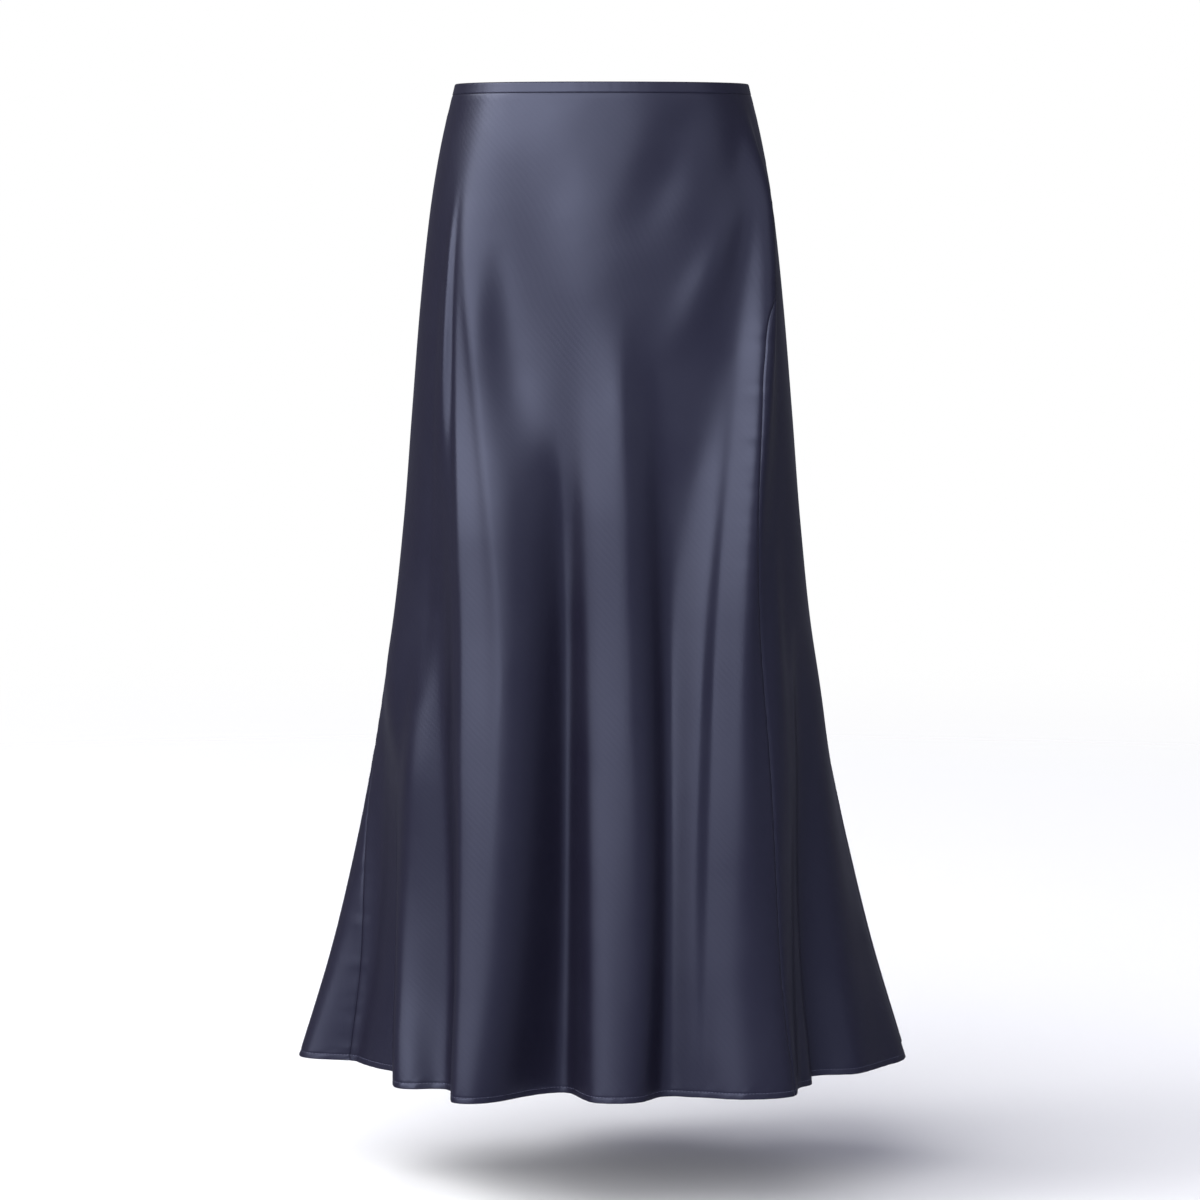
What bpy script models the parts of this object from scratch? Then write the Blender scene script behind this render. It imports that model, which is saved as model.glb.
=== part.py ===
"""A bias-cut satin slip skirt, standing as it is worn, with no wearer inside.

Metres, +Z up. The origin is the middle of the waist opening, level with its top edge. +X is to
the right seen from the front, and the front faces -Y. Heights are given as a drop below the
waist edge. Directions round the skirt are angles in degrees: 0 at the front, 90 at +X, 180 at
the back and -90 at -X.

Every level of the skirt is one closed curve: an oval from SECTIONS, pushed out or in by FOLDS.
The front and the back panel are the two stretches of that curve between the side seams.
"""

from collections import namedtuple

import bmesh
import bpy
import numpy as np

# Driving sizes
LENGTH = 0.900
CLOTH_WALL = 0.0018
BAND_WALL = 0.0024
BAND_HEIGHT = 0.010
SEAM_GAP = 0.0003

# Mesh density
FRONT_COLUMNS = 76
BACK_COLUMNS = 60
PANEL_ROWS = 22
BAND_COLUMNS = 64
CURVE_STEPS = 1440
NORMAL_SPAN = 0.006

# A fold deepens from its start to the hem by a power of the way down, a little ahead of it, and
# eases in over the first share of its way
FOLD_POWER = 1.05
FOLD_LEAD = 0.35
FOLD_EASE = 0.30

SATIN_COLOUR = (0.046, 0.050, 0.095, 1.0)
SATIN_ROUGHNESS = 0.38

# The plan oval at some levels: half its width, how far the front and the back stand from the
# line through both sides, and how far the front's corners fill out, from 2 for a plain ellipse
Section = namedtuple("Section", "drop half_width front back squareness")
SECTIONS = (
    Section(drop=0.00, half_width=0.1340, front=0.092, back=0.092, squareness=2.4),
    Section(drop=0.05, half_width=0.1458, front=0.1015, back=0.106, squareness=2.6),
    Section(drop=0.10, half_width=0.1546, front=0.108, back=0.120, squareness=2.9),
    Section(drop=0.15, half_width=0.1608, front=0.113, back=0.131, squareness=3.3),
    Section(drop=0.20, half_width=0.1657, front=0.117, back=0.136, squareness=3.7),
    Section(drop=0.30, half_width=0.1739, front=0.123, back=0.136, squareness=4.2),
    Section(drop=0.40, half_width=0.1818, front=0.129, back=0.137, squareness=4.2),
    Section(drop=0.50, half_width=0.1932, front=0.136, back=0.143, squareness=3.7),
    Section(drop=0.60, half_width=0.2118, front=0.146, back=0.153, squareness=3.0),
    Section(drop=0.70, half_width=0.2314, front=0.158, back=0.165, squareness=2.4),
    Section(drop=0.80, half_width=0.2547, front=0.170, back=0.178, squareness=2.1),
    Section(drop=0.90, half_width=0.2840, front=0.182, back=0.192, squareness=2.0),
)

# The side seams swing round the body on the way down, as a bias cut makes them
SeamPoint = namedtuple("SeamPoint", "drop minus_x_side plus_x_side")
SEAMS = (
    SeamPoint(drop=0.00, minus_x_side=-90, plus_x_side=93),
    SeamPoint(drop=0.05, minus_x_side=-93, plus_x_side=92),
    SeamPoint(drop=0.10, minus_x_side=-96, plus_x_side=82),
    SeamPoint(drop=0.15, minus_x_side=-98, plus_x_side=62),
    SeamPoint(drop=0.20, minus_x_side=-100, plus_x_side=47.5),
    SeamPoint(drop=0.25, minus_x_side=-101, plus_x_side=43),
    SeamPoint(drop=0.30, minus_x_side=-102, plus_x_side=41),
    SeamPoint(drop=0.40, minus_x_side=-101, plus_x_side=38.5),
    SeamPoint(drop=0.50, minus_x_side=-99, plus_x_side=37.5),
    SeamPoint(drop=0.60, minus_x_side=-95, plus_x_side=37),
    SeamPoint(drop=0.70, minus_x_side=-88.5, plus_x_side=36.4),
    SeamPoint(drop=0.80, minus_x_side=-83.8, plus_x_side=35),
    SeamPoint(drop=0.90, minus_x_side=-81, plus_x_side=34.2),
)

# Each fold is a strip that stands out by reach at the hem, or lies in where reach is below 0.
# from_* and to_* are the angles of its two edges where it starts, half way down and at the hem.
# The soft columns are how gently each edge turns, in degrees, at the fold's start and at the hem.
Fold = namedtuple(
    "Fold",
    "name start reach from_top from_mid from_hem to_top to_mid to_hem"
    " from_soft_top from_soft_hem to_soft_top to_soft_hem",
)
FOLDS = (
    Fold("front left flank", 0.50, -0.054, -88, -87, -85.0, -56, -54, -47.0, 9, 4.0, 8, 2.6),
    Fold("front left hollow", 0.16, -0.028, -74, -56, -33.6, -43, -37.5, -31.4, 8, 2.0, 3, 1.8),
    Fold("front left ridge", 0.20, 0.056, -41, -33.4, -28.6, -20, -16.5, -17.2, 3.0, 1.8, 9, 3.2),
    Fold("front centre valley", 0.34, -0.026, -18.5, -14.4, -14.0, -9, -7, -6.4, 4, 4.0, 3, 1.4),
    Fold("front middle ridge", 0.22, 0.038, -8, -6.4, -4.8, 12, 13, 8.0, 3, 1.6, 3, 2.4),
    Fold("front right valley", 0.32, -0.008, 12, 13, 7.5, 26, 20, 18.0, 4, 2.4, 4, 2.0),
    Fold("front right ridge", 0.18, 0.022, 38, 20, 17.0, 52, 41, 31.8, 3, 4.0, 4, 2.0),
    Fold("front right shoulder", 0.30, 0.022, 28, 18, 17.0, 41, 43, 34.2, 4, 4.0, 3, 1.0),
    Fold("right side hollow", 0.40, -0.037, 51, 49.5, 44.5, 62, 62, 56.0, 4, 2.2, 10, 4.5),
    Fold("right flank", 0.50, -0.016, 57, 59, 58.0, 104, 92, 80.0, 10, 5.0, 15, 7.0),
    Fold("back right ridge", 0.40, 0.026, 104, 106, 108.0, 116, 120, 123.0, 7, 3.0, 6, 2.6),
    Fold("back right valley", 0.44, -0.024, 118, 122, 126.0, 130, 136, 141.0, 6, 2.6, 7, 3.0),
    Fold("back middle ridge", 0.32, 0.030, 140, 146, 150.0, 158, 163, 167.0, 5, 2.4, 5, 2.2),
    Fold("back middle valley", 0.36, -0.018, 164, 168, 170.0, 180, 183, 185.0, 6, 2.8, 5, 2.2),
    Fold("back left ridge", 0.30, 0.032, 184, 186, 188.0, 200, 203, 206.0, 4, 1.9, 6, 2.8),
    Fold("back left valley", 0.40, -0.022, 205, 208, 210.0, 220, 226, 230.0, 6, 2.6, 7, 3.0),
    Fold("back side ridge", 0.46, 0.022, 222, 228, 233.0, 236, 242, 248.0, 7, 3.0, 8, 3.4),
)

# Each crease is a soft ridge, or a trough where reach is below 0, along a line through three
# angles. It fades in and out over shares of its length, and is near_width and far_width wide.
Crease = namedtuple(
    "Crease", "name start end reach top mid low near_width far_width fade_in fade_out"
)
CREASES = (
    Crease("left hip ridge", 0.05, 0.75, 0.0090, -52, -36, -32, 1.6, 3.0, 0.35, 0.6),
    Crease("left panel", 0.44, 0.90, 0.0060, -38, -41, -37, 6.0, 4.0, 0.40, 0.0),
    Crease("left hip hollow", 0.03, 0.34, -0.0045, -44, -38, -32, 9.0, 11.0, 0.5, 0.5),
    Crease("belly", 0.04, 0.75, 0.0060, -2, 0, 0, 20.0, 18.0, 0.22, 0.7),
    Crease("right hip ridge", 0.06, 0.90, 0.0130, 60, 32, 26.5, 6.0, 3.5, 0.25, 0.6),
    Crease("belly drag right", 0.04, 0.26, 0.0030, 58, 34, 20, 6.0, 6.0, 0.4, 0.4),
    Crease("belly trough right", 0.00, 0.16, -0.0036, 50, 28, 12, 9.0, 9.0, 0.4, 0.5),
    Crease("middle ridge start", 0.20, 0.90, 0.0030, 0, 2, 2, 5.0, 6.0, 0.2, 0.5),
)


def smooth_between(value, knots, heights):
    """Reads a smooth curve through the given heights at the knots."""
    knots = np.asarray(knots, float)
    heights = np.asarray(heights, float)
    slopes = np.gradient(heights, knots)
    index = min(max(int(np.searchsorted(knots, value)) - 1, 0), len(knots) - 2)
    width = knots[index + 1] - knots[index]
    part = (value - knots[index]) / width
    square, cube = part**2, part**3
    return (
        heights[index] * (2 * cube - 3 * square + 1)
        + slopes[index] * width * (cube - 2 * square + part)
        + heights[index + 1] * (3 * square - 2 * cube)
        + slopes[index + 1] * width * (cube - square)
    )


def column_at(table, column, drop):
    """The value of one column of SECTIONS or SEAMS at a drop."""
    return smooth_between(drop, [row.drop for row in table], [getattr(row, column) for row in table])


def through_three(top, middle, hem, part):
    """A curve through three values, at the start, half way and the end of the way down."""
    return (
        top * 2 * (part - 0.5) * (part - 1)
        - middle * 4 * part * (part - 1)
        + hem * 2 * part * (part - 0.5)
    )


def soft_step(part):
    """Rises smoothly from 0 at 0 to 1 at 1, and stays there."""
    held = min(max(part, 0.0), 1.0)
    return held * held * (3 - 2 * held)


def fold_push(fold, angles, drop):
    """How far one fold pushes the cloth out at each angle of a level."""
    if drop <= fold.start:
        return np.zeros_like(angles)
    part = (drop - fold.start) / (LENGTH - fold.start)
    near = through_three(fold.from_top, fold.from_mid, fold.from_hem, part)
    far = through_three(fold.to_top, fold.to_mid, fold.to_hem, part)
    near_soft = fold.from_soft_top + (fold.from_soft_hem - fold.from_soft_top) * part
    far_soft = fold.to_soft_top + (fold.to_soft_hem - fold.to_soft_top) * part
    middle = (near + far) / 2
    turned = (angles - middle + 180) % 360 - 180 + middle
    rise = 0.5 + 0.5 * np.tanh((turned - near) / near_soft)
    fall = 0.5 + 0.5 * np.tanh((far - turned) / far_soft)
    growth = part**FOLD_POWER * (1 + FOLD_LEAD * (1 - part)) * soft_step(part / FOLD_EASE)
    return fold.reach * growth * rise * fall


def crease_push(crease, angles, drop):
    """How far one crease pushes the cloth out at each angle of a level."""
    part = (drop - crease.start) / (crease.end - crease.start)
    if not 0 < part < 1 + 1e-9:
        return np.zeros_like(angles)
    middle = through_three(crease.top, crease.mid, crease.low, part)
    off = (angles - middle + 180) % 360 - 180
    width = np.where(off < 0, crease.near_width, crease.far_width)
    strength = soft_step(part / crease.fade_in)
    if crease.fade_out > 0:
        strength *= soft_step((1 - part) / crease.fade_out)
    return crease.reach * strength * np.exp(-((off / width) ** 2))


class Level:
    """The skirt's closed curve at one drop, read by the distance along it."""

    def __init__(self, drop):
        self.drop = drop
        self.angles = np.linspace(-180, 180, CURVE_STEPS + 1)
        turn = np.radians(self.angles)
        half_width = column_at(SECTIONS, "half_width", drop)
        front = column_at(SECTIONS, "front", drop)
        back = column_at(SECTIONS, "back", drop)
        depth = np.where(np.cos(turn) > 0, front, back)
        power = np.where(np.cos(turn) > 0, column_at(SECTIONS, "squareness", drop), 2.0)
        fill = (np.abs(np.sin(turn)) ** power + np.abs(np.cos(turn)) ** power) ** (-1 / power)
        across, along = fill * np.sin(turn), -fill * np.cos(turn)
        slope = np.sign([across, along]) * np.abs([across, along]) ** (power - 1)
        outward = slope / np.array([np.full_like(depth, half_width), depth])
        outward /= np.linalg.norm(outward, axis=0)
        push = sum(fold_push(fold, self.angles, drop) for fold in FOLDS)
        push = push + sum(crease_push(crease, self.angles, drop) for crease in CREASES)
        self.x = half_width * across + outward[0] * push
        self.y = depth * along + outward[1] * push
        steps = np.hypot(np.diff(self.x), np.diff(self.y))
        self.distance = np.concatenate([[0.0], np.cumsum(steps)])
        self.girth = self.distance[-1]

    def distance_at(self, angle):
        """The distance along the curve at an angle."""
        return float(np.interp(angle, self.angles, self.distance))

    def place(self, distance):
        """The plan positions at some distances along the curve."""
        x = np.interp(distance, self.distance, self.x, period=self.girth)
        y = np.interp(distance, self.distance, self.y, period=self.girth)
        return np.stack([x, y], axis=-1)

    def points(self, distance, inset):
        """Points of the wall, a given distance in from its outer side."""
        plan = self.place(distance)
        tangent = self.place(distance + NORMAL_SPAN) - self.place(distance - NORMAL_SPAN)
        tangent /= np.linalg.norm(tangent, axis=-1, keepdims=True)
        inward = np.stack([-tangent[:, 1], tangent[:, 0]], axis=-1)
        level = plan + inset * inward
        return np.column_stack([level, np.full(len(level), -self.drop)])


def panel_level(drop, front, columns, inset):
    """The points of one panel at one level, from seam to seam."""
    level = Level(drop)
    minus_x_seam = level.distance_at(column_at(SEAMS, "minus_x_side", drop))
    plus_x_seam = level.distance_at(column_at(SEAMS, "plus_x_side", drop))
    if front:
        start, end = minus_x_seam, plus_x_seam
    else:
        start, end = plus_x_seam, minus_x_seam + level.girth
    distance = np.linspace(start + SEAM_GAP / 2, end - SEAM_GAP / 2, columns + 1)
    return level.points(distance, inset)


def thicken(bm):
    """Closes an open sheet into a wall, and returns the vertices of its second side."""
    grown = bmesh.ops.extrude_face_region(bm, geom=bm.faces[:])
    return [item for item in grown["geom"] if isinstance(item, bmesh.types.BMVert)]


def finish_solid(bm, name, collection):
    """Makes the object of a finished wall, with its faces outward and its own satin."""
    bmesh.ops.recalc_face_normals(bm, faces=bm.faces[:])
    mesh = bpy.data.meshes.new(name)
    bm.to_mesh(mesh)
    bm.free()
    mesh.shade_smooth()
    mesh.set_sharp_from_angle(angle=np.radians(50))
    mesh.materials.append(satin(name))
    solid = bpy.data.objects.new(name, mesh)
    collection.objects.link(solid)
    return solid


def satin(name):
    """Dark blue satin with a soft gloss."""
    material = bpy.data.materials.new(name + "_satin")
    material.use_nodes = True
    shader = material.node_tree.nodes["Principled BSDF"]
    shader.inputs["Base Color"].default_value = SATIN_COLOUR
    shader.inputs["Roughness"].default_value = SATIN_ROUGHNESS
    shader.inputs["Metallic"].default_value = 0.0
    return material


def make_panel(name, front, columns, collection):
    """One panel: a grid laid on the skirt's levels between the seams, then given its wall."""
    drops = np.linspace(BAND_HEIGHT + SEAM_GAP, LENGTH, PANEL_ROWS + 1)
    outer = [panel_level(drop, front, columns, 0.0) for drop in drops]
    inner = [panel_level(drop, front, columns, CLOTH_WALL) for drop in drops]
    bm = bmesh.new()
    bmesh.ops.create_grid(bm, x_segments=columns, y_segments=PANEL_ROWS, size=0.5)
    inner_side = set(thicken(bm))
    for vert in bm.verts:
        column = round((vert.co.x + 0.5) * columns)
        row = round((0.5 - vert.co.y) * PANEL_ROWS)
        side = inner if vert in inner_side else outer
        vert.co = side[row][column]
    return finish_solid(bm, name, collection)


def make_band(name, collection):
    """The waist band: a strip joined into a ring above the panels."""
    turn = np.arange(BAND_COLUMNS) / BAND_COLUMNS
    bm = bmesh.new()
    bmesh.ops.create_cone(
        bm, cap_ends=False, segments=BAND_COLUMNS, radius1=1.0, radius2=1.0, depth=1.0
    )
    inner_side = set(thicken(bm))
    edges = {}
    for drop in (0.0, BAND_HEIGHT):
        level = Level(drop)
        edges[drop, False] = level.points(turn * level.girth, 0.0)
        edges[drop, True] = level.points(turn * level.girth, BAND_WALL)
    for vert in bm.verts:
        column = round(np.arctan2(vert.co.y, vert.co.x) / (2 * np.pi) * BAND_COLUMNS)
        drop = 0.0 if vert.co.z > 0 else BAND_HEIGHT
        vert.co = edges[drop, vert in inner_side][column % BAND_COLUMNS]
    return finish_solid(bm, name, collection)


def main():
    for old in list(bpy.data.objects):
        bpy.data.objects.remove(old, do_unlink=True)
    collection = bpy.data.collections.new("slip_skirt")
    bpy.context.scene.collection.children.link(collection)
    make_panel("front_panel", True, FRONT_COLUMNS, collection)
    make_panel("back_panel", False, BACK_COLUMNS, collection)
    make_band("waist_band", collection)


main()
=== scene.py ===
"""The looks of a bias-cut satin slip skirt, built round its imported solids.

Metres, +Z up, in the solids' own frame: the origin is the middle of the waist opening, +X is to
the right seen from the front, and the front faces -Y. Heights are given as a drop below the
waist edge, and directions round the skirt as angles in degrees: 0 at the front, 90 at +X.
"""

import logging
import math
from dataclasses import dataclass
from enum import Enum
from typing import NamedTuple, Optional, Sequence
import bmesh
import bpy
import numpy as np
from mathutils import Matrix, Vector


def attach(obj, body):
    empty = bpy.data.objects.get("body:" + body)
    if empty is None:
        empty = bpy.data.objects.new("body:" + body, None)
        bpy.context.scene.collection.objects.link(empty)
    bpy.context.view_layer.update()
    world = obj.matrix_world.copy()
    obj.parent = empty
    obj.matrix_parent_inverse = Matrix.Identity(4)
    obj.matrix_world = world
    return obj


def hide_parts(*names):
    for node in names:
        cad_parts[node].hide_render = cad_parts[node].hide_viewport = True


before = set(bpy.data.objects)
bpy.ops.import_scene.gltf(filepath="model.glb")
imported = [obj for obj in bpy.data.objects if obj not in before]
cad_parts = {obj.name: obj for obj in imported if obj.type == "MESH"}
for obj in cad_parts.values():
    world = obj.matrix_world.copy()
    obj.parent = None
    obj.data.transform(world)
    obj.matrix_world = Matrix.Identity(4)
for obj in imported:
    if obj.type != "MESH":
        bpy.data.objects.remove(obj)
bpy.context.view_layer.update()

LOG = logging.getLogger("slip_skirt")
BODY = "root"


class Section(NamedTuple):
    """The plan oval at one level: half its width, and its depth to the front and to the back.

    squareness is 2 where the front is a plain half ellipse, and more where its corners fill out.
    """

    drop: float
    half_width: float
    front: float
    back: float
    squareness: float


class SeamPoint(NamedTuple):
    """Where the two side seams are at one level, as angles."""

    drop: float
    minus_x_side: float
    plus_x_side: float


class Fold(NamedTuple):
    """A strip that stands out by reach at the hem, or lies in where reach is below 0.

    from_* and to_* are the angles of its edges where it starts, half way down and at the hem.
    The softness of each edge, in degrees, is given where the fold starts and at the hem.
    """

    name: str
    start: float
    reach: float
    from_top: float
    from_mid: float
    from_hem: float
    to_top: float
    to_mid: float
    to_hem: float
    from_soft_top: float
    from_soft_hem: float
    to_soft_top: float
    to_soft_hem: float


class Crease(NamedTuple):
    """A soft ridge, or a trough where reach is below 0, along a line down the cloth.

    The line runs from start to end, through three angles. It fades in and out over shares of its
    length, and near_width and far_width are its soft widths on either side, in degrees.
    """

    name: str
    start: float
    end: float
    reach: float
    top: float
    mid: float
    low: float
    near_width: float
    far_width: float
    fade_in: float
    fade_out: float


SECTIONS = (
    Section(drop=0.00, half_width=0.1340, front=0.092, back=0.092, squareness=2.4),
    Section(drop=0.05, half_width=0.1458, front=0.1015, back=0.106, squareness=2.6),
    Section(drop=0.10, half_width=0.1546, front=0.108, back=0.120, squareness=2.9),
    Section(drop=0.15, half_width=0.1608, front=0.113, back=0.131, squareness=3.3),
    Section(drop=0.20, half_width=0.1657, front=0.117, back=0.136, squareness=3.7),
    Section(drop=0.30, half_width=0.1739, front=0.123, back=0.136, squareness=4.2),
    Section(drop=0.40, half_width=0.1818, front=0.129, back=0.137, squareness=4.2),
    Section(drop=0.50, half_width=0.1932, front=0.136, back=0.143, squareness=3.7),
    Section(drop=0.60, half_width=0.2118, front=0.146, back=0.153, squareness=3.0),
    Section(drop=0.70, half_width=0.2314, front=0.158, back=0.165, squareness=2.4),
    Section(drop=0.80, half_width=0.2547, front=0.170, back=0.178, squareness=2.1),
    Section(drop=0.90, half_width=0.2840, front=0.182, back=0.192, squareness=2.0),
)
SEAMS = (
    SeamPoint(drop=0.00, minus_x_side=-90, plus_x_side=93),
    SeamPoint(drop=0.05, minus_x_side=-93, plus_x_side=92),
    SeamPoint(drop=0.10, minus_x_side=-96, plus_x_side=82),
    SeamPoint(drop=0.15, minus_x_side=-98, plus_x_side=62),
    SeamPoint(drop=0.20, minus_x_side=-100, plus_x_side=47.5),
    SeamPoint(drop=0.25, minus_x_side=-101, plus_x_side=43),
    SeamPoint(drop=0.30, minus_x_side=-102, plus_x_side=41),
    SeamPoint(drop=0.40, minus_x_side=-101, plus_x_side=38.5),
    SeamPoint(drop=0.50, minus_x_side=-99, plus_x_side=37.5),
    SeamPoint(drop=0.60, minus_x_side=-95, plus_x_side=37),
    SeamPoint(drop=0.70, minus_x_side=-88.5, plus_x_side=36.4),
    SeamPoint(drop=0.80, minus_x_side=-83.8, plus_x_side=35),
    SeamPoint(drop=0.90, minus_x_side=-81, plus_x_side=34.2),
)
FOLDS = (
    Fold("front left flank", 0.50, -0.054, -88, -87, -85.0, -56, -54, -44.0, 9, 4.0, 8, 2.6),
    Fold("front left hollow", 0.16, -0.014, -76, -60, -35.0, -46, -38, -29.0, 8, 4.0, 3, 1.6),
    Fold("front left ridge", 0.20, 0.052, -44, -35.0, -26.5, -20, -14.5, -15.8, 2.4, 1.6, 8, 4.0),
    Fold("front centre valley", 0.22, -0.027, -17, -11.0, -9.6, -10, -6.6, -4.4, 4, 6.5, 3, 2.0),
    Fold("front middle ridge", 0.18, 0.034, -8, -5.6, -3.8, 13, 14.0, 8.6, 3, 2.4, 2.8, 2.4),
    Fold("front right valley", 0.32, -0.002, 13, 14, 8.0, 26, 20, 18.0, 4, 2.4, 4, 2.0),
    Fold("front right ridge", 0.18, 0.020, 38, 21, 17.0, 52, 42.5, 35.5, 3, 5.0, 4, 2.4),
    Fold("front right shoulder", 0.30, 0.018, 30, 19, 17.0, 41, 44.5, 36.5, 4, 5.0, 3, 1.6),
    Fold("right side hollow", 0.40, -0.037, 51, 49.5, 44.5, 62, 62, 56.0, 4, 2.2, 10, 4.5),
    Fold("right flank", 0.50, -0.016, 57, 59, 58.0, 104, 92, 80.0, 10, 5.0, 15, 7.0),
    Fold("back right ridge", 0.40, 0.026, 104, 106, 108.0, 116, 120, 123.0, 7, 3.0, 6, 2.6),
    Fold("back right valley", 0.44, -0.024, 118, 122, 126.0, 130, 136, 141.0, 6, 2.6, 7, 3.0),
    Fold("back middle ridge", 0.32, 0.030, 140, 146, 150.0, 158, 163, 167.0, 5, 2.4, 5, 2.2),
    Fold("back middle valley", 0.36, -0.018, 164, 168, 170.0, 180, 183, 185.0, 6, 2.8, 5, 2.2),
    Fold("back left ridge", 0.30, 0.032, 184, 186, 188.0, 200, 203, 206.0, 4, 1.9, 6, 2.8),
    Fold("back left valley", 0.40, -0.022, 205, 208, 210.0, 220, 226, 230.0, 6, 2.6, 7, 3.0),
    Fold("back side ridge", 0.46, 0.022, 222, 228, 233.0, 236, 242, 248.0, 7, 3.0, 8, 3.4),
)
CREASES = (
    Crease("left hip ridge", 0.08, 0.80, 0.0060, -46.0, -26.5, -22.5, 2.6, 9.0, 0.25, 0.6),
    Crease("left hip groove", 0.08, 0.90, -0.0030, -49, -35.0, -27.0, 2.0, 1.1, 0.20, 0.0),
    Crease("left hip line", 0.08, 0.34, 0.0020, -51, -46, -43, 1.3, 1.3, 0.30, 0.5),
    Crease("left side hollow", 0.06, 0.66, -0.0070, -57, -50, -46, 12.0, 6.0, 0.30, 0.4),
    Crease("left panel", 0.46, 0.90, 0.0100, -45, -45.0, -38.0, 6.0, 8.0, 0.40, 0.0),
    Crease("left hip hollow", 0.00, 0.60, -0.0025, -37, -27, -23, 9.0, 12.0, 0.28, 0.45),
    Crease("left belly hollow", 0.02, 0.38, -0.0080, -30, -26, -23, 11.0, 13.0, 0.50, 0.50),
    Crease("belly", 0.04, 0.75, 0.0050, -2, 0, 0, 20.0, 18.0, 0.22, 0.7),
    Crease("right hip ridge", 0.01, 0.90, 0.0160, 62, 35, 30, 6.0, 3.8, 0.12, 0.75),
    Crease("right double groove", 0.20, 0.90, -0.0070, 41, 26.6, 19.0, 2.4, 6.0, 0.5, 0.0),
    Crease("belly drag right", 0.04, 0.26, 0.0030, 60, 36, 20, 6.0, 6.0, 0.4, 0.4),
    Crease("belly trough right", 0.00, 0.16, -0.0030, 38, 22, 10, 9.0, 9.0, 0.3, 0.5),
    Crease("middle ridge start", 0.18, 0.90, 0.0050, 5, 7, 5, 8.0, 4.5, 0.2, 0.5),
)


class Side(Enum):
    """The two panels of the skirt."""

    FRONT = "front"
    BACK = "back"


class Seam(Enum):
    """The two side seams of the skirt."""

    MINUS_X = "minus_x_side"
    PLUS_X = "plus_x_side"


def smooth_between(value: float, knots: Sequence[float], heights: Sequence[float]) -> float:
    """Reads a smooth curve through the given heights at the knots.

    Args:
        value: Where to read the curve.
        knots: The positions of the given heights, rising.
        heights: The curve's heights at the knots.

    Returns:
        The height of the curve at value.
    """
    slopes = np.gradient(heights, knots)
    index = min(max(int(np.searchsorted(knots, value)) - 1, 0), len(knots) - 2)
    width = knots[index + 1] - knots[index]
    part = (value - knots[index]) / width
    square, cube = part**2, part**3
    return float(
        heights[index] * (2 * cube - 3 * square + 1)
        + slopes[index] * width * (cube - 2 * square + part)
        + heights[index + 1] * (3 * square - 2 * cube)
        + slopes[index + 1] * width * (cube - square)
    )


def through_three(top: float, middle: float, low: float, part: float) -> float:
    """A curve through three values, at the start, half way and the end of a way down."""
    return (
        top * 2 * (part - 0.5) * (part - 1)
        - middle * 4 * part * (part - 1)
        + low * 2 * part * (part - 0.5)
    )


def soft_step(part: np.ndarray | float) -> np.ndarray | float:
    """Rises smoothly from 0 at 0 to 1 at 1, and stays there."""
    held = np.clip(part, 0.0, 1.0)
    return held * held * (3 - 2 * held)


@dataclass(frozen=True)
class SkirtForm:
    """The skirt's whole form: one closed curve at every level, from the waist to the hem."""

    length: float = 0.900
    curve_steps: int = 2880
    normal_span: float = 0.003
    fold_power: float = 1.05
    fold_lead: float = 0.35
    fold_ease: float = 0.30

    def fold_push(self, fold: Fold, angles: np.ndarray, drop: float) -> np.ndarray:
        """How far a fold pushes the cloth out at each angle of a level.

        Args:
            fold: The fold.
            angles: The angles of the level's points.
            drop: The level's drop below the waist edge.

        Returns:
            One push for each angle.
        """
        if drop <= fold.start:
            return np.zeros_like(angles)
        part = (drop - fold.start) / (self.length - fold.start)
        near = through_three(fold.from_top, fold.from_mid, fold.from_hem, part)
        far = through_three(fold.to_top, fold.to_mid, fold.to_hem, part)
        near_soft = fold.from_soft_top + (fold.from_soft_hem - fold.from_soft_top) * part
        far_soft = fold.to_soft_top + (fold.to_soft_hem - fold.to_soft_top) * part
        middle = (near + far) / 2
        turned = (angles - middle + 180) % 360 - 180 + middle
        rise = 0.5 + 0.5 * np.tanh((turned - near) / near_soft)
        fall = 0.5 + 0.5 * np.tanh((far - turned) / far_soft)
        growth = part**self.fold_power * (1 + self.fold_lead * (1 - part))
        growth *= float(soft_step(part / self.fold_ease))
        return fold.reach * growth * rise * fall

    def crease_push(self, crease: Crease, angles: np.ndarray, drop: float) -> np.ndarray:
        """How far a crease pushes the cloth out at each angle of a level.

        Args:
            crease: The crease.
            angles: The angles of the level's points.
            drop: The level's drop below the waist edge.

        Returns:
            One push for each angle.
        """
        part = (drop - crease.start) / (crease.end - crease.start)
        if not 0 < part < 1 + 1e-9:
            return np.zeros_like(angles)
        middle = through_three(crease.top, crease.mid, crease.low, part)
        off = (angles - middle + 180) % 360 - 180
        width = np.where(off < 0, crease.near_width, crease.far_width)
        strength = soft_step(part / crease.fade_in)
        if crease.fade_out > 0:
            strength *= soft_step((1 - part) / crease.fade_out)
        return crease.reach * strength * np.exp(-((off / width) ** 2))

    def level(self, drop: float) -> "Level":
        """The skirt's closed curve at a drop."""
        return Level(self, drop)

    def seam_angle(self, seam: Seam, drop: float) -> float:
        """The angle of a side seam at a drop."""
        knots = [row.drop for row in SEAMS]
        return smooth_between(drop, knots, [getattr(row, seam.value) for row in SEAMS])


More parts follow.
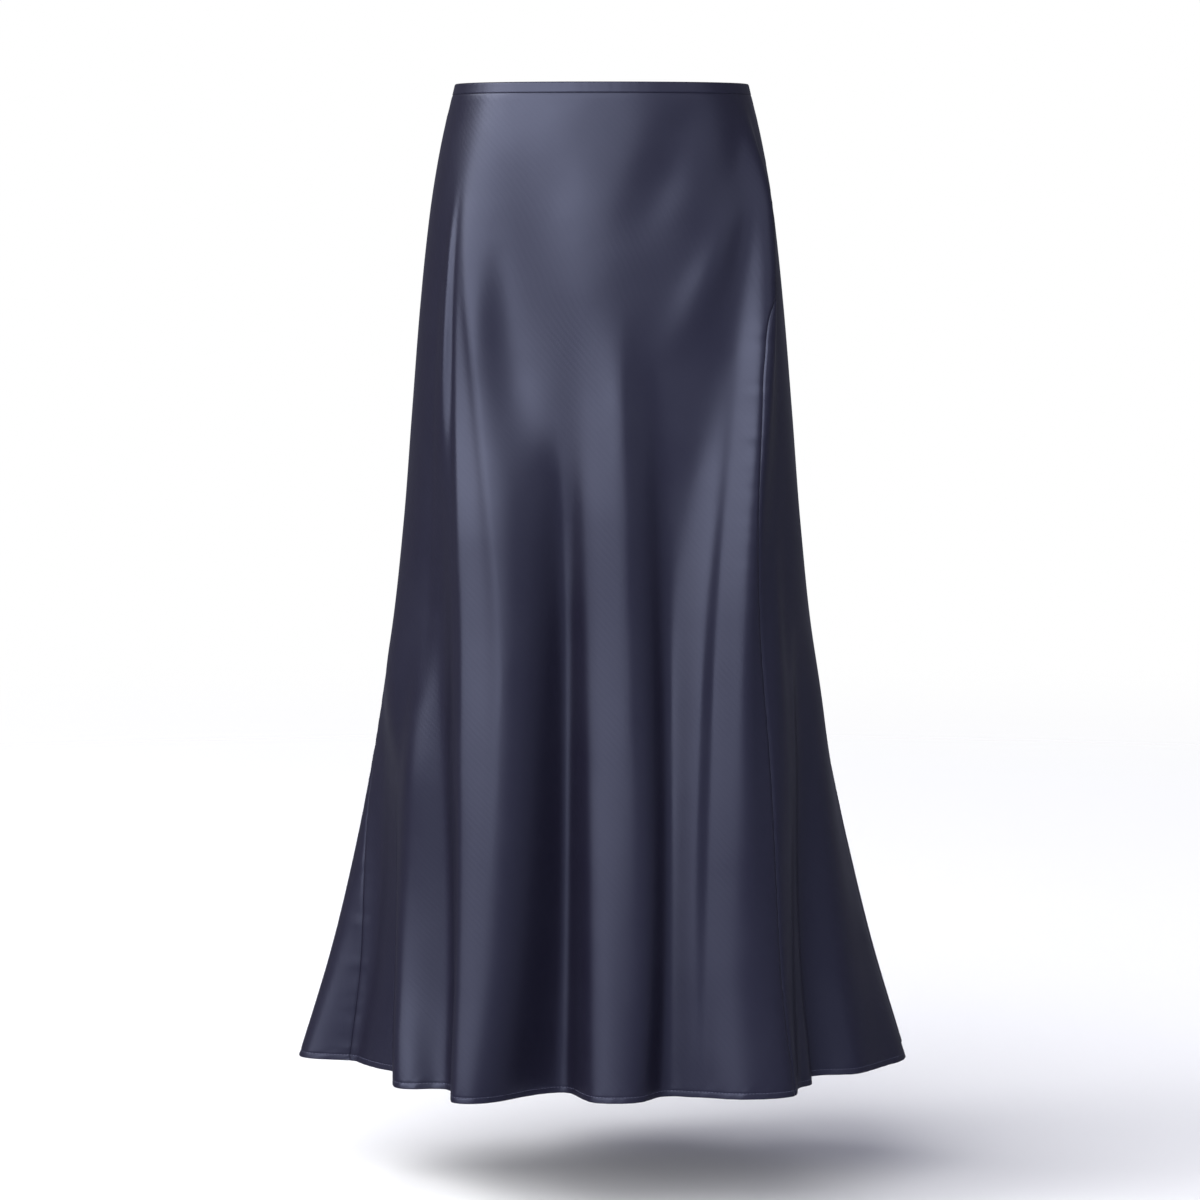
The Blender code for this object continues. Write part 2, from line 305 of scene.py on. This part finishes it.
class Level:
    """One closed curve of the skirt, read by the distance along it."""

    def __init__(self, form: SkirtForm, drop: float) -> None:
        """Works out the curve of a form at a drop."""
        self.form = form
        self.drop = drop
        self.angles = np.linspace(-180, 180, form.curve_steps + 1)
        turn = np.radians(self.angles)
        half_width, front, back, squareness = self.section(drop)
        depth = np.where(np.cos(turn) > 0, front, back)
        power = np.where(np.cos(turn) > 0, squareness, 2.0)
        fill = (np.abs(np.sin(turn)) ** power + np.abs(np.cos(turn)) ** power) ** (-1 / power)
        across, along = fill * np.sin(turn), -fill * np.cos(turn)
        slope = np.sign([across, along]) * np.abs([across, along]) ** (power - 1)
        outward = slope / np.array([np.full_like(depth, half_width), depth])
        outward /= np.linalg.norm(outward, axis=0)
        push = sum(form.fold_push(fold, self.angles, drop) for fold in FOLDS)
        push = push + sum(form.crease_push(crease, self.angles, drop) for crease in CREASES)
        self.x = half_width * across + outward[0] * push
        self.y = depth * along + outward[1] * push
        steps = np.hypot(np.diff(self.x), np.diff(self.y))
        self.distance = np.concatenate([[0.0], np.cumsum(steps)])
        self.girth = float(self.distance[-1])

    @staticmethod
    def section(drop: float) -> list[float]:
        """The half width, both depths and the squareness of the oval at a drop."""
        knots = [row.drop for row in SECTIONS]
        return [smooth_between(drop, knots, [row[i] for row in SECTIONS]) for i in range(1, 5)]

    def distance_at(self, angle: float) -> float:
        """The distance along the curve at an angle."""
        return float(np.interp(angle, self.angles, self.distance))

    def seam_distance(self, seam: Seam) -> float:
        """The distance along the curve at a side seam."""
        return self.distance_at(self.form.seam_angle(seam, self.drop))

    def place(self, distance: np.ndarray) -> np.ndarray:
        """The plan positions at some distances along the curve."""
        x = np.interp(distance, self.distance, self.x, period=self.girth)
        y = np.interp(distance, self.distance, self.y, period=self.girth)
        return np.stack([x, y], axis=-1)

    def inward(self, distance: np.ndarray) -> np.ndarray:
        """The unit plan directions into the skirt at some distances along the curve."""
        span = self.form.normal_span
        tangent = self.place(distance + span) - self.place(distance - span)
        tangent /= np.linalg.norm(tangent, axis=-1, keepdims=True)
        return np.stack([-tangent[:, 1], tangent[:, 0]], axis=-1)

    def points(self, distance: np.ndarray, inset: np.ndarray | float) -> np.ndarray:
        """Points at some distances along the curve, set in from it by an inset."""
        inset = np.broadcast_to(inset, distance.shape)[:, None]
        plan = self.place(distance) + inset * self.inward(distance)
        return np.column_stack([plan, np.full(len(plan), -self.drop)])


def ripple(position: np.ndarray, pitches: Sequence[float], shifts: Sequence[float]) -> np.ndarray:
    """An uneven wave between about -1 and 1, made of a few waves of unlike lengths.

    Args:
        position: Where to read it, in metres.
        pitches: The length of each wave, in metres.
        shifts: The start of each wave, in turns.

    Returns:
        The wave's heights.
    """
    waves = [np.sin(2 * np.pi * (position / p + s)) for p, s in zip(pitches, shifts)]
    return sum(waves) / len(waves)


def grid_mesh(name: str, points: np.ndarray, flat: np.ndarray) -> bpy.types.Mesh:
    """Makes a sheet of cloth from a grid, with its flat pattern as the UV map in metres.

    Args:
        name: The mesh's name.
        points: The points, as rows down the cloth and columns to the right seen from outside.
        flat: The same grid's places on the flat cloth.

    Returns:
        The mesh, with its faces outward.
    """
    rows, columns = points.shape[0] - 1, points.shape[1] - 1
    bm = bmesh.new()
    bmesh.ops.create_grid(bm, x_segments=columns, y_segments=rows, size=0.5)
    mesh = bpy.data.meshes.new(name)
    bm.to_mesh(mesh)
    bm.free()
    start = np.empty(len(mesh.vertices) * 3, np.float32)
    mesh.vertices.foreach_get("co", start)
    start = start.reshape(-1, 3)
    column = np.rint((start[:, 0] + 0.5) * columns).astype(int)
    row = np.rint((0.5 - start[:, 1]) * rows).astype(int)
    mesh.vertices.foreach_set("co", points[row, column].astype(np.float32).ravel())
    corner = np.empty(len(mesh.loops), np.int32)
    mesh.loops.foreach_get("vertex_index", corner)
    layer = mesh.uv_layers.new(name="cloth")
    layer.data.foreach_set("uv", flat[row[corner], column[corner]].astype(np.float32).ravel())
    mesh.shade_smooth()
    mesh.update()
    return mesh


def place_object(name: str, mesh: bpy.types.Mesh, material: bpy.types.Material) -> bpy.types.Object:
    """Puts a finished mesh in the scene, at the origin, in one material."""
    mesh.materials.append(material)
    piece = bpy.data.objects.new(name, mesh)
    bpy.context.scene.collection.objects.link(piece)
    return piece


@dataclass(frozen=True)
class Satin:
    """Polyester satin: smooth floats with a broad soft gloss, woven of fine threads."""

    name: str = "navy_satin"
    dark: tuple[float, float, float] = (0.0056, 0.0050, 0.0112)
    light: tuple[float, float, float] = (0.0076, 0.0068, 0.0148)
    gloss_tint: tuple[float, float, float] = (0.66, 0.72, 1.0)
    roughness: float = 0.37
    roughness_change: float = 0.05
    thread_pitch: float = 0.0007
    slub_length: float = 0.030
    slub_width: float = 0.0012
    mottle_scale: float = 14.0
    weave_height: float = 0.00006
    weave_share: float = 0.5
    bias: float = math.radians(45)

    def material(self) -> bpy.types.Material:
        """Builds the satin's nodes.

        Returns:
            The finished material.
        """
        material = bpy.data.materials.new(self.name)
        material.use_nodes = True
        nodes, links = material.node_tree.nodes, material.node_tree.links
        shader = nodes["Principled BSDF"]
        shader.inputs["Specular IOR Level"].default_value = 0.5
        shader.inputs["Specular Tint"].default_value = (*self.gloss_tint, 1.0)
        flat = nodes.new("ShaderNodeUVMap")
        flat.uv_map = "cloth"
        threads = nodes.new("ShaderNodeMapping")
        threads.inputs["Rotation"].default_value = (0.0, 0.0, self.bias)
        links.new(flat.outputs["UV"], threads.inputs["Vector"])

        slub_place = nodes.new("ShaderNodeMapping")
        slub_place.inputs["Scale"].default_value = (1 / self.slub_length, 1 / self.slub_width, 1.0)
        links.new(threads.outputs["Vector"], slub_place.inputs["Vector"])
        slub = nodes.new("ShaderNodeTexNoise")
        slub.inputs["Scale"].default_value = 1.0
        slub.inputs["Detail"].default_value = 3.0
        links.new(slub_place.outputs["Vector"], slub.inputs["Vector"])

        weave = nodes.new("ShaderNodeTexWave")
        weave.wave_type = "BANDS"
        weave.bands_direction = "Y"
        weave.inputs["Scale"].default_value = 1 / (20 * self.thread_pitch)
        weave.inputs["Distortion"].default_value = 1.5
        weave.inputs["Detail"].default_value = 1.0
        links.new(threads.outputs["Vector"], weave.inputs["Vector"])

        mottle = nodes.new("ShaderNodeTexNoise")
        mottle.inputs["Scale"].default_value = self.mottle_scale
        mottle.inputs["Detail"].default_value = 4.0
        links.new(flat.outputs["UV"], mottle.inputs["Vector"])

        colour = nodes.new("ShaderNodeMix")
        colour.data_type = "RGBA"
        colour.inputs["A"].default_value = (*self.dark, 1.0)
        colour.inputs["B"].default_value = (*self.light, 1.0)
        links.new(slub.outputs["Fac"], colour.inputs["Factor"])
        links.new(colour.outputs["Result"], shader.inputs["Base Color"])

        rough = nodes.new("ShaderNodeMapRange")
        rough.inputs["From Min"].default_value = 0.3
        rough.inputs["From Max"].default_value = 0.7
        rough.inputs["To Min"].default_value = self.roughness - self.roughness_change
        rough.inputs["To Max"].default_value = self.roughness + self.roughness_change
        links.new(mottle.outputs["Fac"], rough.inputs["Value"])
        links.new(rough.outputs["Result"], shader.inputs["Roughness"])

        relief = nodes.new("ShaderNodeMath")
        relief.operation = "MULTIPLY_ADD"
        relief.inputs[1].default_value = self.weave_share
        links.new(weave.outputs["Fac"], relief.inputs[0])
        links.new(slub.outputs["Fac"], relief.inputs[2])
        bump = nodes.new("ShaderNodeBump")
        bump.inputs["Strength"].default_value = 0.5
        bump.inputs["Distance"].default_value = self.weave_height
        links.new(relief.outputs["Value"], bump.inputs["Height"])
        links.new(bump.outputs["Normal"], shader.inputs["Normal"])
        return material


@dataclass(frozen=True)
class Thread:
    """Polyester sewing thread, a shade lighter than the cloth."""

    name: str = "navy_thread"
    colour: tuple[float, float, float] = (0.085, 0.090, 0.150)
    shade: float = 0.3
    twist_scale: float = 2500.0

    def material(self) -> bpy.types.Material:
        """Builds the thread's nodes, with its twist as fine bands.

        Returns:
            The finished material.
        """
        material = bpy.data.materials.new(self.name)
        material.use_nodes = True
        nodes, links = material.node_tree.nodes, material.node_tree.links
        shader = nodes["Principled BSDF"]
        shader.inputs["Roughness"].default_value = 0.55
        place = nodes.new("ShaderNodeTexCoord")
        twist = nodes.new("ShaderNodeTexNoise")
        twist.inputs["Scale"].default_value = self.twist_scale
        links.new(place.outputs["Object"], twist.inputs["Vector"])
        colour = nodes.new("ShaderNodeMix")
        colour.data_type = "RGBA"
        colour.inputs["A"].default_value = (*((1 - self.shade) * c for c in self.colour), 1.0)
        colour.inputs["B"].default_value = (*((1 + self.shade) * c for c in self.colour), 1.0)
        links.new(twist.outputs["Fac"], colour.inputs["Factor"])
        links.new(colour.outputs["Result"], shader.inputs["Base Color"])
        return material


@dataclass
class Panel:
    """One panel of the skirt: a thin sheet of satin between the side seams, with a turned hem.

    Its top edge is tucked under the waist band by tuck_inset, and eases out below it.
    """

    form: SkirtForm
    side: Side
    columns: int
    rows: int
    tuck: float = 0.007
    tuck_inset: float = 0.0005
    cloth: float = 0.00045
    seam_gap: float = 0.00004
    hem_height: float = 0.006
    hem_rows: int = 16
    hem_inset: float = 0.0012
    seam_sink: float = 0.0008
    seam_width: float = 0.0016
    pucker: float = 0.00035
    pucker_width: float = 0.012
    stitch_sink: float = 0.00025
    stitch_width: float = 0.0009
    stitch_offset: float = 0.0008
    roping: float = 0.0004
    tuck_rows: tuple[tuple[float, float], ...] = (
        (0.0, 1.1),
        (0.0015, 1.0),
        (0.0026, 1.0),
        (0.0034, 0.7),
        (0.0042, 0.3),
    )
    tuck_depth: float = 0.0052
    edge_columns: tuple[float, ...] = (0.0, 0.0006, 0.0013, 0.0022, 0.0034)

    def profile(self) -> list[tuple[float, float]]:
        """The way down the cloth: each row's drop and how far it is set in.

        Returns:
            Rows from the edge tucked into the band to the raw edge inside the hem.
        """
        length = self.form.length
        hem_top = length - 2.5 * self.hem_height
        rows = [(self.tuck + below, share * self.tuck_inset) for below, share in self.tuck_rows]
        top = self.tuck + self.tuck_depth
        rows += [(drop, 0.0) for drop in np.linspace(top, hem_top, self.rows)[:-1]]
        turn = self.hem_inset / 2
        rows += [(drop, 0.0) for drop in np.linspace(hem_top, length - turn, self.hem_rows)]
        for angle in (-60, -30, 0, 30, 60):
            bend = math.radians(angle)
            rows.append((length - turn + turn * math.cos(bend), turn + turn * math.sin(bend)))
        rows += [(length - share * self.hem_height, self.hem_inset) for share in (0.15, 0.6, 1.0)]
        return rows

    def across(self, level: Level) -> tuple[np.ndarray, np.ndarray]:
        """The columns of one row.

        Args:
            level: The level of the row.

        Returns:
            The distances along the level's curve, and the distance of each from the nearer seam.
        """
        start, end = level.seam_distance(Seam.MINUS_X), level.seam_distance(Seam.PLUS_X)
        if self.side is Side.BACK:
            start, end = end, start + level.girth
        gap = self.seam_gap / 2
        edge = np.array(self.edge_columns)
        span = end - start - 2 * gap
        inner = np.linspace(edge[-1], span - edge[-1], self.columns - 7)[1:-1]
        along = np.concatenate([edge, inner, span - edge[::-1]])
        return start + gap + along, np.minimum(along, span - along) + gap

    def relief(self, drop: float, along: np.ndarray, seam: np.ndarray, inset: float) -> np.ndarray:
        """The small forms of sewing: the sunk seams, their puckers and the hem's stitch line.

        Args:
            drop: The row's drop.
            along: The columns' distances along the level's curve.
            seam: Their distances from the nearer seam.
            inset: The row's own inset.

        Returns:
            The inset of each column.
        """
        sink = self.seam_sink * np.exp(-((seam / self.seam_width) ** 2))
        pull = ripple(np.array([drop]), (0.019, 0.013, 0.031), (0.1, 0.45, 0.7))[0]
        sink = sink + self.pucker * pull * np.exp(-((seam / self.pucker_width) ** 2))
        above_hem = self.form.length - drop
        stitches = self.hem_height - self.stitch_offset
        line = math.exp(-(((above_hem - stitches) / self.stitch_width) ** 2))
        if inset == 0.0:
            sink = sink + self.stitch_sink * line
        near_hem = math.exp(-((above_hem / (1.5 * self.hem_height)) ** 2))
        rope = ripple(along + 0.4 * above_hem, (0.011, 0.017, 0.029), (0.0, 0.3, 0.8))
        return inset + sink + self.roping * near_hem * rope

    def build(self, material: bpy.types.Material) -> bpy.types.Object:
        """Makes the panel's mesh.

        Args:
            material: The cloth's material.

        Returns:
            The panel as an object.
        """
        points, flat = [], []
        way = 0.0
        last: Optional[tuple[float, float]] = None
        for drop, inset in self.profile():
            level = self.form.level(drop)
            along, seam = self.across(level)
            points.append(level.points(along, self.relief(drop, along, seam, inset)))
            if last is not None:
                way += math.hypot(drop - last[0], inset - last[1])
            last = (drop, inset)
            centre = (along[0] + along[-1]) / 2
            flat.append(np.column_stack([along - centre, np.full(len(along), -way)]))
        mesh = grid_mesh(f"{self.side.value}_cloth", np.array(points), np.array(flat))
        piece = place_object(f"{self.side.value}_cloth", mesh, material)
        wall = piece.modifiers.new("cloth", "SOLIDIFY")
        wall.thickness = self.cloth
        wall.offset = -1.0
        return piece


@dataclass
class WaistBand:
    """A narrow strip of satin folded over elastic, joined into a ring and open below."""

    form: SkirtForm
    height: float = 0.0100
    thickness: float = 0.0023
    cloth: float = 0.00040
    edge_turn: float = 0.0009
    ring_columns: int = 400
    unevenness: float = 0.00006

    def profile(self) -> list[tuple[float, float]]:
        """The strip's section, from its turned outer edge over the top to its inner edge.

        Returns:
            The drop and the inset of each row.
        """
        half = self.thickness / 2
        rows = [(self.height - 0.0002, self.edge_turn), (self.height, self.edge_turn / 3)]
        rows += [(drop, 0.0) for drop in np.linspace(self.height - 0.0006, half, 8)]
        for degrees in range(15, 180, 15):
            bend = math.radians(degrees)
            rows.append((half - half * math.sin(bend), half - half * math.cos(bend)))
        rows += [(drop, self.thickness) for drop in np.linspace(half, self.height - 0.0004, 8)]
        rows.append((self.height - 0.0001, self.thickness - self.edge_turn / 2))
        return rows[::-1]

    def build(self, material: bpy.types.Material) -> bpy.types.Object:
        """Makes the band's mesh.

        Args:
            material: The cloth's material.

        Returns:
            The band as an object.
        """
        share = np.linspace(0, 1, self.ring_columns + 1)
        points, flat = [], []
        way = 0.0
        last: Optional[tuple[float, float]] = None
        for drop, inset in self.profile():
            level = self.form.level(drop)
            along = share * level.girth
            pitches = (level.girth / 53, level.girth / 31, level.girth / 83)
            wave = self.unevenness * ripple(along, pitches, (0, 0.3, 0.6))
            points.append(level.points(along, inset + wave))
            if last is not None:
                way += math.hypot(drop - last[0], inset - last[1])
            last = (drop, inset)
            flat.append(np.column_stack([along, np.full(len(along), -way)]))
        mesh = grid_mesh("band_cloth", np.array(points), np.array(flat))
        bm = bmesh.new()
        bm.from_mesh(mesh)
        bmesh.ops.remove_doubles(bm, verts=bm.verts[:], dist=1e-6)
        bm.to_mesh(mesh)
        bm.free()
        mesh.shade_smooth()
        piece = place_object("band_cloth", mesh, material)
        wall = piece.modifiers.new("cloth", "SOLIDIFY")
        wall.thickness = self.cloth
        wall.offset = -1.0
        return piece


@dataclass
class StitchRow:
    """A row of sewing along the skirt, as one mesh of small rounded stitches."""

    form: SkirtForm
    name: str
    drop: float
    lift: float = 0.00005
    pitch: float = 0.0031
    length: float = 0.0025
    radius: float = 0.00019

    def build(self, material: bpy.types.Material) -> bpy.types.Object:
        """Makes the row of stitches.

        Args:
            material: The thread's material.

        Returns:
            The row as an object.
        """
        level = self.form.level(self.drop)
        count = int(level.girth / self.pitch)
        along = (np.arange(count) + 0.5) * level.girth / count
        middles = level.points(along, -self.lift)
        ahead = level.points(along + self.length / 2, -self.lift)
        bm = bmesh.new()
        for middle, end in zip(middles, ahead):
            direction = Vector(end - middle)
            turn = direction.to_track_quat("Z", "Y").to_matrix().to_4x4()
            size = Matrix.Diagonal((self.radius, self.radius, self.length / 2, 1.0))
            bmesh.ops.create_uvsphere(
                bm,
                u_segments=6,
                v_segments=4,
                radius=1.0,
                matrix=Matrix.Translation(Vector(middle)) @ turn @ size,
            )
        mesh = bpy.data.meshes.new(self.name)
        bm.to_mesh(mesh)
        bm.free()
        mesh.shade_smooth()
        return place_object(self.name, mesh, material)


@dataclass
class Studio:
    """The pale floor, the soft lights and the camera."""

    floor_drop: float = 1.02
    floor_radius: float = 5.0
    floor_fade_start: float = 1.2
    floor_tone: float = 0.85
    light_distance: float = 14.0
    light_target: tuple[float, float, float] = (0.0, 0.0, -0.45)
    camera_distance: float = 4.0
    camera_drop: float = 0.12
    camera_offset: float = -0.0016
    camera_pitch: float = math.radians(-5.038)
    focal_length: float = 130.54
    backdrop_light: float = 1.0
    room_tint: tuple[float, float, float] = (0.96, 0.97, 1.24)
    front_light: float = 0.50
    behind_light: float = 0.14

    def world(self) -> None:
        """A white backdrop for the camera, and a dim even room for all other light."""
        world = bpy.data.worlds.new("studio")
        bpy.context.scene.world = world
        world.use_nodes = True
        nodes, links = world.node_tree.nodes, world.node_tree.links
        direction = nodes.new("ShaderNodeTexCoord")
        axes = nodes.new("ShaderNodeSeparateXYZ")
        links.new(direction.outputs["Generated"], axes.inputs["Vector"])
        room = nodes.new("ShaderNodeMapRange")
        room.inputs["From Min"].default_value = -1.0
        room.inputs["From Max"].default_value = 0.8
        room.inputs["To Min"].default_value = self.front_light
        room.inputs["To Max"].default_value = self.behind_light
        links.new(axes.outputs["Y"], room.inputs["Value"])
        path = nodes.new("ShaderNodeLightPath")
        level = nodes.new("ShaderNodeMix")
        level.inputs["B"].default_value = self.backdrop_light
        links.new(path.outputs["Is Camera Ray"], level.inputs["Factor"])
        links.new(room.outputs["Result"], level.inputs["A"])
        links.new(level.outputs["Result"], nodes["Background"].inputs["Strength"])
        tint = nodes.new("ShaderNodeMix")
        tint.data_type = "RGBA"
        colour_a, colour_b = [socket for socket in tint.inputs if socket.type == "RGBA"]
        colour_a.default_value = (*self.room_tint, 1.0)
        colour_b.default_value = (1.0, 1.0, 1.0, 1.0)
        links.new(path.outputs["Is Camera Ray"], tint.inputs["Factor"])
        mixed = next(socket for socket in tint.outputs if socket.type == "RGBA")
        links.new(mixed, nodes["Background"].inputs["Color"])

    def floor(self) -> None:
        """A round pale floor below the hem, which fades into the backdrop."""
        bm = bmesh.new()
        bmesh.ops.create_circle(
            bm,
            cap_ends=True,
            segments=96,
            radius=self.floor_radius,
            matrix=Matrix.Translation((0.0, 0.0, -self.floor_drop)),
        )
        mesh = bpy.data.meshes.new("floor")
        bm.to_mesh(mesh)
        bm.free()
        material = bpy.data.materials.new("pale_floor")
        material.use_nodes = True
        nodes, links = material.node_tree.nodes, material.node_tree.links
        shader = nodes["Principled BSDF"]
        shader.inputs["Base Color"].default_value = (*[self.floor_tone] * 3, 1.0)
        shader.inputs["Roughness"].default_value = 0.9
        shader.inputs["Specular IOR Level"].default_value = 0.1
        place = nodes.new("ShaderNodeTexCoord")
        reach = nodes.new("ShaderNodeVectorMath")
        reach.operation = "LENGTH"
        links.new(place.outputs["Object"], reach.inputs[0])
        fade = nodes.new("ShaderNodeMapRange")
        fade.interpolation_type = "SMOOTHSTEP"
        fade.inputs["From Min"].default_value = self.floor_fade_start
        fade.inputs["From Max"].default_value = self.floor_radius
        fade.inputs["To Min"].default_value = 1.0
        fade.inputs["To Max"].default_value = 0.0
        links.new(reach.outputs["Value"], fade.inputs["Value"])
        links.new(fade.outputs["Result"], shader.inputs["Alpha"])
        floor = place_object("floor", mesh, material)
        floor.visible_glossy = False

    def softbox(
        self, name: str, azimuth: float, elevation: float, size: tuple[float, float], power: float
    ) -> None:
        """Adds a soft rectangular light that looks at the middle of the skirt.

        Args:
            name: The light's name.
            azimuth: Its direction round the skirt, in degrees, 0 at the front and 90 at +X.
            elevation: Its height above the skirt's middle, in degrees.
            size: Its width and height, in metres.
            power: Its power, in watts.
        """
        lamp = bpy.data.lights.new(name, "AREA")
        lamp.shape = "RECTANGLE"
        lamp.size, lamp.size_y = size
        lamp.energy = power
        light = bpy.data.objects.new(name, lamp)
        bpy.context.scene.collection.objects.link(light)
        turn, rise = math.radians(azimuth), math.radians(elevation)
        middle = Vector(self.light_target)
        away = Vector(
            (math.sin(turn) * math.cos(rise), -math.cos(turn) * math.cos(rise), math.sin(rise))
        )
        light.location = middle + self.light_distance * away
        light.rotation_euler = (-away).to_track_quat("-Z", "Y").to_euler()

    def camera(self) -> None:
        """Sets the camera in front of the skirt, a little below its waist and tilted down."""
        data = bpy.data.cameras.new("camera")
        data.lens = self.focal_length
        data.sensor_width = 36.0
        camera = bpy.data.objects.new("camera", data)
        bpy.context.scene.collection.objects.link(camera)
        camera.location = (self.camera_offset, -self.camera_distance, -self.camera_drop)
        camera.rotation_euler = (math.radians(90) + self.camera_pitch, 0.0, 0.0)
        bpy.context.scene.camera = camera

    def build(self) -> None:
        """Makes the whole studio."""
        self.world()
        self.floor()
        self.softbox("key", -37, 33, (20.4, 11.6), 4040)
        self.softbox("high left", -84, 44, (10.0, 6.8), 1000)
        self.softbox("fill", 44, 30, (7.4, 7.4), 152)
        self.camera()
        bpy.context.scene.view_settings.view_transform = "Standard"


def main() -> None:
    """Builds the studio and the skirt, and reports each piece."""
    logging.basicConfig(level=logging.INFO, format="%(name)s: %(message)s")
    Studio().build()
    form = SkirtForm()
    satin = Satin().material()
    thread = Thread().material()
    pieces = [
        ("front_panel", Panel(form, Side.FRONT, columns=210, rows=200).build(satin)),
        ("back_panel", Panel(form, Side.BACK, columns=230, rows=184).build(satin)),
        ("waist_band", WaistBand(form).build(satin)),
    ]
    for node, piece in pieces:
        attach(piece, BODY)
        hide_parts(node)
        LOG.info("%s: %d faces", piece.name, len(piece.data.polygons))
    hem = StitchRow(form, "hem_stitches", drop=form.length - 0.0052).build(thread)
    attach(hem, BODY)
    LOG.info("%s: %d faces", hem.name, len(hem.data.polygons))


if __name__ == "__main__":
    main()
